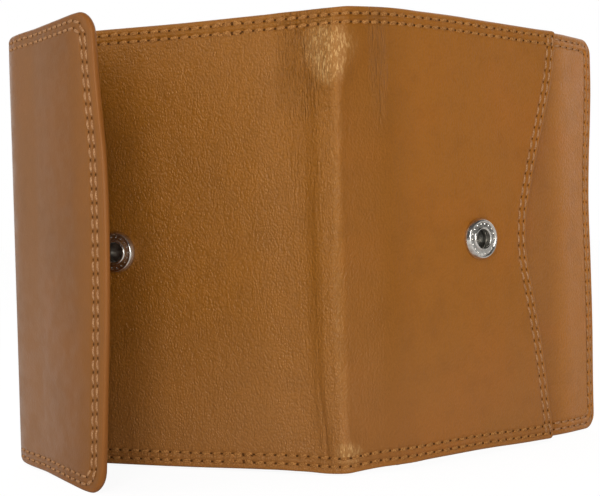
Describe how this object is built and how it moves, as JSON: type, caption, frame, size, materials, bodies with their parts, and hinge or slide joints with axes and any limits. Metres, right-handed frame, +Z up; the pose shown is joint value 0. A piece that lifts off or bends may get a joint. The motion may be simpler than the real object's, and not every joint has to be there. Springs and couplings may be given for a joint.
{
  "type": "coupon organizer wallet",
  "caption": "Leather bifold wallet with a rounded spine, snap flap over a coin pocket, outside slip pocket with a curved mouth, gusseted coupon compartment, card slots and a closing tab.",
  "frame": {"origin": "middle of the box of the half-open wallet, on the plane that its long edges stand on", "axes": "+X along the left half from the flap's fold towards the spine, +Y from the outer face of the left half to its inner face, +Z up along the spine"},
  "size_m": [0.1401, 0.1119, 0.11],
  "materials": {
    "outer_leather": "tan full-grain leather, fine pebble grain, low sheen",
    "strap_leather": "tan full-grain leather, smooth",
    "inner_leather": "tan leather, matt",
    "lining_cloth": "brown woven lining",
    "snap_chrome": "polished nickel",
    "snap_steel": "dull nickel",
    "window_film": "clear film"
  },
  "bodies": {
    "left_half": {"cover_left": "outer_leather", "backing_left": "inner_leather", "gusset_top": "inner_leather", "gusset_bottom": "inner_leather", "compartment_end": "inner_leather", "inner_panel_left": "inner_leather", "card_slot_rear": "inner_leather", "card_slot_middle": "inner_leather", "card_slot_front": "inner_leather", "tab_anchor": "strap_leather", "snap_ring_left": "snap_chrome", "snap_spring_left": "snap_steel", "snap_cap_left": "snap_steel"},
    "spine": {"spine_cover": "outer_leather", "spine_lining": "lining_cloth"},
    "right_half": {"cover_right": "outer_leather", "backing_right": "outer_leather", "lining_right": "lining_cloth", "window_film": "window_film", "window_frame": "inner_leather", "snap_ring_right": "snap_chrome", "snap_spring_right": "snap_steel", "snap_cap_right": "snap_steel"},
    "flap": {"flap_cover": "outer_leather", "flap_lining": "inner_leather", "flap_stud": "snap_chrome", "flap_stud_post": "snap_steel"},
    "tab_root": {"tab_root_cover": "strap_leather", "tab_root_lining": "inner_leather"},
    "tab_tip": {"tab_tip_cover": "strap_leather", "tab_tip_lining": "inner_leather", "tab_stud": "snap_chrome", "tab_stud_post": "snap_steel"}
  },
  "joints": [
    {"name": "left_crease", "type": "hinge", "parent": "left_half", "child": "spine", "pos_m": [0.0138, -0.02445, 0.055], "axis": [0, 0, 1], "range_deg": [-28, 62]},
    {"name": "right_crease", "type": "hinge", "parent": "spine", "child": "right_half", "pos_m": [0.02881, -0.01647, 0.055], "axis": [0, 0, 1], "range_deg": [-28, 62]},
    {"name": "flap_fold", "type": "hinge", "parent": "left_half", "child": "flap", "pos_m": [-0.0678, -0.0249, 0.055], "axis": [0, 0, -1], "range_deg": [-33.9, 142]},
    {"name": "tab_root_fold", "type": "hinge", "parent": "left_half", "child": "tab_root", "pos_m": [-0.0682, -0.01615, 0.055], "axis": [0, 0, 1], "range_deg": [0, 90]},
    {"name": "tab_tip_fold", "type": "hinge", "parent": "tab_root", "child": "tab_tip", "pos_m": [-0.0682, -0.0052, 0.055], "axis": [0, 0, -1], "range_deg": [-20, 70]}
  ],
  "couplings": [
    {"joint": "right_crease", "follows": "left_crease", "ratio": 1}
  ]
}
